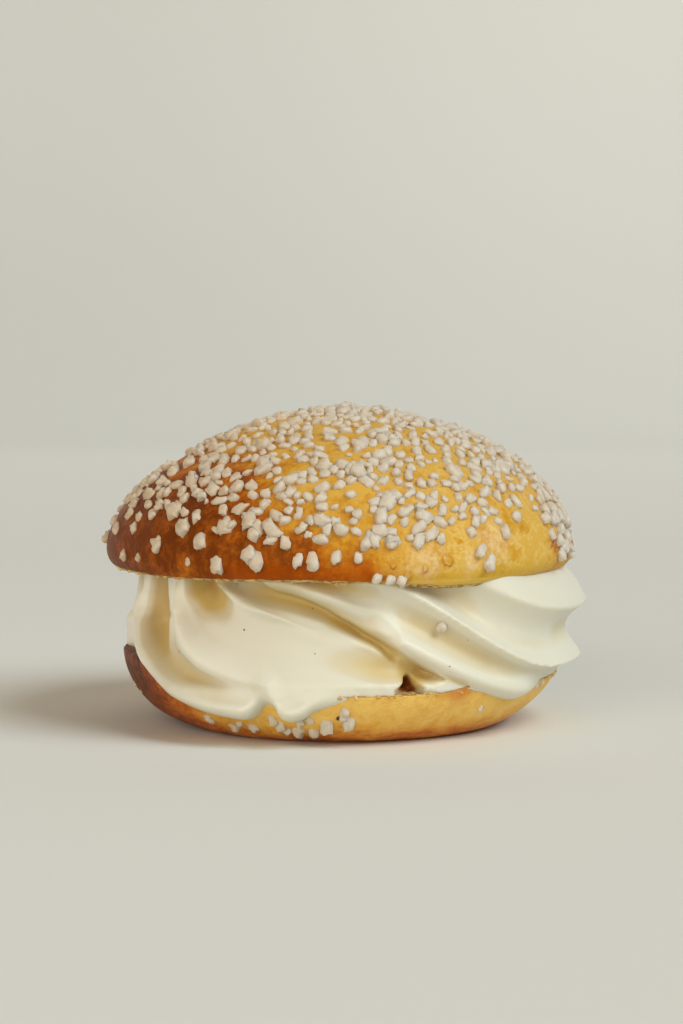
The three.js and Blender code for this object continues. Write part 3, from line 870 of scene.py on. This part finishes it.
# the crust round each lump is painted browner on the dark side and orange on the golden side: partly caramel
# and melted sugar, partly painted shade cast by the lump
round_lump_shade_and_caramel = golden.smooth(-0.2, 0.5).mix(baked(place, golden_share * 0.55, LID_STOPS), LUMP_SHADE_AND_CARAMEL_COLOR)
lid_color = (stored(place, "from_sugar").smooth(LUMP_SHADE_RING, 0) * 0.6).mix(lid_color, round_lump_shade_and_caramel)
bare = (stored(place, "crumb") + place.uneven(2.4 * MM, 2) * 0.9).smooth(0.4, 0.55)
crumb_color, crumb_height = crumb_look(place)
plug(shader, "Base Color", bare.mix(lid_color, crumb_color))
raise_surface(shader, height + crumb_height * bare)
lid = round_piece("lid_crust", crust_lid, around=320, rings=190, ring_at=lid_ring,
                  relief=(20 * MM, 0.3 * MM, 0.9 * MM),
                  crumb_edge=(LID_FACE_SHARE + 0.075, LID_FACE_SHARE + 0.035))
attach(lid, "root")
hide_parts("brioche_lid")

# Pearl sugar. Hard lumps of pressed sugar, most of them 2 to 4 mm long, set in the egg wash before baking,
# which left them cloudy and a little golden. They lie close together over the dome and thin out at its
# rim; some rolled under and baked on to the base.
GRAIN_SIZE = 1.22 * MM  # half of a middling lump
GRAIN_LEAST = 0.6  # the smallest and the largest, as shares of it
GRAIN_MOST = 1.45
GRAIN_SPACING = 1.9 * MM
GRAIN_DENSITY = 300000.0  # per square metre, where they lie thickest
GRAIN_SEED = 11
SUGAR_LINE = 40.5 * MM  # above it they lie close together
BARE_SPOT = (38.5 * MM + AXIS_X, -30 * MM, 41 * MM)
BARE_REACH = 9 * MM
MIDDLE = (AXIS_X, 0, 16 * MM)  # the lumps lie flat as seen from here
ROUNDNESS = 0.78  # of a lump, from a block at 0 to a ball at 1


def lump_piece(name, finish, facets, sizes, spots, keep_at=lambda place: 0.0, surface=None):
    """A piece of lumps: some placed at spots, the others scattered over a surface, if there is one.

    keep_at says how thickly, from the place. All the lumps get a random stretch, turn and bumps.
    """
    placed_lumps = placed_points(spots)
    sizes = {**sizes, "Placed": placed_lumps, "Finish": finish}
    tree, wires = form_tree(name, sizes)
    start = wires["Geometry"]
    node = start.node

    def chance(low, high, seed):
        values = {2: low, 3: high, "Seed": seed}
        return node("FunctionNodeRandomValue", values, 1)

    where = node("GeometryNodeInputPosition")
    spread = node("GeometryNodeDistributePointsOnFaces",
                  {"Mesh": start, "Distance Min": wires["Spacing"], "Density Max": wires["Density"],
                   "Density Factor": keep_at(where), "Seed": wires["Seed"]}, distribute_method="POISSON")
    placed = node("GeometryNodeObjectInfo", {"Object": wires["Placed"]}, 4)
    placed = node("GeometryNodeMeshToPoints", {"Mesh": placed})
    joined = tree.nodes.new("GeometryNodeJoinGeometry")
    tree.links.new(spread.socket, joined.inputs[0])
    tree.links.new(placed.socket, joined.inputs[0])
    points = node("GeometryNodeStoreNamedAttribute",
                  {"Geometry": Wire(tree, joined.outputs[0]), "Name": "center", "Value": where},
                  data_type="FLOAT_VECTOR")
    # a placed lump brings its size, the others get a random one
    given = node("GeometryNodeInputNamedAttribute", {"Name": "size"})
    by_chance = chance(wires["Least"], 1, 1) + chance(0, 1, 2) ** 3 * (wires["Most"] - 1)
    size = (given + (1 - (given * 1000).clamp()) * by_chance) * wires["Size"]
    stretch = node("ShaderNodeCombineXYZ", {"X": size * chance(0.85, 1.5, 3),
                                            "Y": size * chance(0.7, 1.05, 4),
                                            "Z": size * chance(0.65, 1, 5)})
    outward = node("ShaderNodeVectorMath", {0: where, 1: MIDDLE}, operation="SUBTRACT")
    upright = node("FunctionNodeAlignRotationToVector", {"Vector": outward}, axis="Z")
    spin = node("ShaderNodeCombineXYZ", {"X": chance(-0.35, 0.35, 6), "Y": chance(-0.35, 0.35, 7),
                                         "Z": chance(0, math.tau, 8)})
    spin = node("FunctionNodeEulerToRotation", {0: spin})
    turned = node("FunctionNodeRotateRotation", {"Rotation": upright, "Rotate By": spin},
                  rotation_space="LOCAL")
    block = node("GeometryNodeMeshCube", {"Size": (2, 2, 2), "Vertices X": facets, "Vertices Y": facets,
                                          "Vertices Z": facets})
    corner = node("GeometryNodeInputPosition")
    ball = node("ShaderNodeVectorMath", {0: corner}, operation="NORMALIZE")
    lump = node("ShaderNodeMix", {0: ROUNDNESS, 4: corner, 5: ball}, 1, data_type="VECTOR")
    block = node("GeometryNodeSetPosition", {"Geometry": block, "Position": lump})
    lumps = node("GeometryNodeInstanceOnPoints", {"Points": points, "Instance": block,
                                                  "Rotation": turned, "Scale": stretch})
    real = node("GeometryNodeRealizeInstances", {0: lumps})
    center = node("GeometryNodeInputNamedAttribute", {"Name": "center"}, data_type="FLOAT_VECTOR")
    here = node("GeometryNodeInputPosition")
    arm = node("ShaderNodeVectorMath", {0: here, 1: center}, operation="SUBTRACT")
    scaled = node("ShaderNodeVectorMath", {0: here, "Scale": 1 / wires["Size"]}, operation="SCALE")
    swell = scaled.uneven(1.4, 1) * 1.4 + scaled.uneven(0.7, 1) * 0.6
    shift = node("ShaderNodeVectorMath", {0: arm, "Scale": swell}, operation="SCALE")
    rough = node("GeometryNodeSetPosition", {"Geometry": real, "Offset": shift})
    end_tree(node("GeometryNodeSetShadeSmooth", {0: rough}), wires["Finish"])
    made = grown(name, tree, sizes, surface)
    bpy.data.objects.remove(placed_lumps)
    return made


surfaces = {piece.name: BVHTree.FromObject(piece, bpy.context.evaluated_depsgraph_get())
            for piece in (base, cream, lid)}


def on_surface(piece, angle, height):
    """The point of a piece at an angle round the axis and a height."""
    turn = math.radians(angle)
    outside = Vector((math.sin(turn), -math.cos(turn), 0))
    start = Vector((AXIS_X, 0, height)) + outside * LID_RADIUS * 1.5
    return surfaces[piece.name].ray_cast(start, -outside)[0]


def spots_on(piece, rows):
    return [(on_surface(piece, angle, height * MM), size) for angle, height, size in rows]


def placed_points(spots):
    """A carrier of single points, each with the size of its lump."""
    mesh = bpy.data.meshes.new("placed_points")
    mesh.from_pydata([spot for spot, size in spots], [], [])
    mesh.attributes.new("size", "FLOAT", "POINT").data.foreach_set("value", [size for spot, size in spots])
    return put("placed_points", mesh)


sugar_finish, shader, place = material("pearl sugar", 0.5, 0.3, 0.5, (0.0008, 0.0007, 0.0006))
cloud = place.noise(1.6 * MM, 2)
# the lumps are darker and browner towards the left
side = (place.split()[0] - AXIS_X).smooth(-45 * MM, 10 * MM)
stained = side.mix((0.56, 0.43, 0.28, 1), (0.62, 0.53, 0.41, 1))
clean = side.mix((0.62, 0.53, 0.41, 1), (0.66, 0.61, 0.53, 1))
plug(shader, "Base Color", cloud.smooth(0.3, 0.7).mix(stained, clean))
raise_surface(shader, place.noise(0.5 * MM, 2, 0.6) * (0.1 * MM))

# single lumps at the rim and the ends of the lid and on the base: degrees, height in millimetres, size
lid_lumps = [
    (-75.5, 47.8, 1), (-88.5, 45, 0.9), (-69, 45, 0.9), (-62, 44.8, 0.8), (-73, 41.8, 1), (-61, 42.4, 0.9),
    (-61.5, 47.2, 0.8), (-55, 47.2, 1), (-47.5, 46.5, 1.4), (-55.5, 45.5, 0.8), (-41, 43.6, 1.3),
    (-38, 45.5, 0.9), (-28.5, 44.2, 1.2), (-22.5, 45.3, 1.3), (-20.5, 42.8, 1), (-87, 39, 1.1),
    (-63, 37, 0.8), (-55, 37, 0.6), (-48, 40, 1.1), (-37, 37, 0.5), (-34.5, 41, 1.1), (-29, 36.5, 1.1),
    (-21, 39, 1.1), (-19, 37.6, 1.2), (-12.5, 41.5, 0.9), (-9.5, 38, 0.9), (-6, 38, 1.1), (-1, 38.5, 0.9),
    (4, 38.5, 0.7), (8, 42, 1), (12, 41.5, 1), (18.5, 41.8, 1), (24, 42, 0.8), (34, 39.4, 0.9),
    (36.5, 36.8, 1.1), (8.4, 34.6, 0.85), (11.8, 34.2, 0.8), (14.2, 34.1, 0.9), (49, 45.5, 0.9),
    (67, 44, 1.4), (69, 38.3, 1.2), (62, 44.5, 1.1), (72, 44, 1.1), (69.5, 41.7, 1.2), (62.5, 41.1, 0.9),
    (66.5, 39.6, 1.2), (73, 40, 1.3), (77, 43, 1.3), (74, 37.8, 1), (64.5, 46, 1.2), (71, 46, 1.2),
    (66, 37, 1.1), (74, 36.6, 1), (-66, 55.3, 1.3), (-51.5, 52, 1.2), (-66.5, 51.4, 1.2), (-59.5, 49.2, 1),
    (-47, 49, 0.9), (-40.5, 49.4, 1), (-42.5, 53.3, 1.1), (-68, 53.6, 1.2), (-53, 54.8, 1.2),
    (-71.5, 47, 1.1), (-47, 56, 1.1), (-73, 57.6, 1.1), (-66.5, 58.5, 1.1), (-75.5, 51.7, 1.2),
    (-81, 43, 1), (-82, 47.3, 1.2), (-89, 48.8, 1.1), (-84, 50.8, 1.2), (-81, 54.3, 1.2), (-89, 53, 1.1),
    (-79, 58, 1.2), (-88, 57, 1.1), (-72, 60.6, 1.1), (-84, 60.4, 1.2),
]
base_lumps = [
    (-39, 5.1, 1), (-32, 3.4, 1), (-29, 4.6, 0.8), (-25, 3.9, 1.1), (-18.3, 6, 1.1), (-16.6, 4.6, 1),
    (-15.2, 3.4, 1), (-12, 3.5, 1.2), (-10.4, 5.7, 1.1), (-8, 6.3, 0.9), (-7.2, 3.4, 1.1),
    (-3.6, 5.1, 1.45), (1.2, 8.5, 1), (1.2, 7.3, 0.9), (2.1, 5.9, 1.35), (40.6, 7.2, 0.8), (-74, 9.6, 0.8),
    (-71, 8, 0.7), (66, 10.4, 0.9), (62, 10.2, 0.8),
]
BASE_SUNK = 0.985  # the lumps on the base are baked in deeper and have lost some of their size
BASE_WORN = 0.88
on_base = [(spot * BASE_SUNK, size * BASE_WORN) for spot, size in spots_on(base, base_lumps)]
sugar_spots = spots_on(lid, lid_lumps) + on_base + spots_on(cream, [(26.4, 24.4, 0.9)])


def sugar_at(place):
    """How thickly the lid is sprinkled: close above a wavering line, lower at the left, with gaps there."""
    x, y, z = place.split()
    aside = x - AXIS_X
    line = z + place.uneven(8 * MM, 1) * (9 * MM) + aside.smooth(-18 * MM, -42 * MM) * (-8 * MM)
    right = aside.smooth(-50 * MM, 20 * MM) * 0.6
    patches = place.noise(6 * MM, 1).smooth(0.25, 0.45) * 0.65
    patches = (patches + right + 0.15).clamp() * (right + 0.62).clamp()
    around_bare = place.away(BARE_SPOT).smooth(BARE_REACH * 0.7, BARE_REACH)
    return line.smooth(SUGAR_LINE, SUGAR_LINE + 2 * MM) * patches * around_bare


sugar_sizes = {"Spacing": GRAIN_SPACING, "Density": GRAIN_DENSITY, "Size": GRAIN_SIZE, "Least": GRAIN_LEAST,
               "Most": GRAIN_MOST, "Seed": GRAIN_SEED}
sugar = lump_piece("pearl_sugar", sugar_finish, 4, sugar_sizes, sugar_spots, sugar_at, lid.data.copy())
# how far each point of the lid is from the nearest lump
lump_points = KDTree(len(sugar.data.vertices))
for index, vertex in enumerate(sugar.data.vertices):
    lump_points.insert(vertex.co, index)
lump_points.balance()
from_sugar = [lump_points.find(vertex.co)[2] for vertex in lid.data.vertices]
lid.data.attributes.new("from_sugar", "FLOAT", "POINT").data.foreach_set("value", from_sugar)
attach(sugar, "root")

# Crumbs. Flakes and crumbs of brioche that the knife tore off, 0.4 to 1.2 mm, stuck along both cuts.
CRUMB_SIZE = 0.3 * MM
CRUMB_COUNT = 300
CRUMB_SEED = 4
SMOOTH_MIDDLE = 28  # degrees: there the lid was pulled off clean
SMOOTH_HALF = 26
OPEN_MIDDLE = 70  # degrees: there the cut of the base is level and open
OPEN_HALF = 108

crumb_finish, shader, place = material("loose crumbs", 0.8, specular=0.2)
tint = place.noise(4 * MM, 2).smooth(0.35, 0.65)
plug(shader, "Base Color", tint.mix((0.62, 0.36, 0.1, 1), (0.78, 0.6, 0.28, 1)))
chances = np.random.default_rng(CRUMB_SEED)
spots = []
for turn, side, size in zip(chances.uniform(-180, 180, CRUMB_COUNT), chances.random(CRUMB_COUNT),
                            chances.uniform(0.5, 1.5, CRUMB_COUNT)):
    if side < 0.5 and abs(turn - SMOOTH_MIDDLE) > SMOOTH_HALF:
        spots.append((on_surface(lid, turn, LID_CUT + 0.25 * MM), size))
    if side >= 0.5 and abs(turn - OPEN_MIDDLE) < OPEN_HALF:
        spots.append((on_surface(base, turn, BASE_CUT - 0.3 * MM), size))
crumb_sizes = {"Spacing": 1.0, "Density": 0.0, "Size": CRUMB_SIZE, "Least": 1.0, "Most": 1.0,
               "Seed": CRUMB_SEED}
crumbs = lump_piece("crumbs", crumb_finish, 3, crumb_sizes, spots)
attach(crumbs, "root")

# Specks. Ground vanilla in the cream, dark grains of 0.2 to 0.4 mm, most of them just under its skin.
SPECK_SIZE = 0.15 * MM
SPECK_SPACING = 6 * MM
SPECK_DENSITY = 4500.0
SPECK_SHARE = 0.3  # of them that are in sight
SPECK_SEED = 3

speck_finish, shader, place = material("vanilla", 0.6, specular=0.2)
shader.inputs["Base Color"].default_value = (0.06, 0.035, 0.015, 1)
front_specks = [(-26.5, 23.2, 1), (-31, 32, 0.8), (-73, 21, 0.8), (-8, 27.5, 0.7), (-6.5, 19, 0.7),
                (27, 16.4, 0.7)]
speck_sizes = {"Spacing": SPECK_SPACING, "Density": SPECK_DENSITY, "Size": SPECK_SIZE, "Least": 0.5,
               "Most": 1.0, "Seed": SPECK_SEED}
specks = lump_piece("vanilla_specks", speck_finish, 3, speck_sizes, spots_on(cream, front_specks),
                    lambda place: SPECK_SHARE, cream.data.copy())
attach(specks, "root")
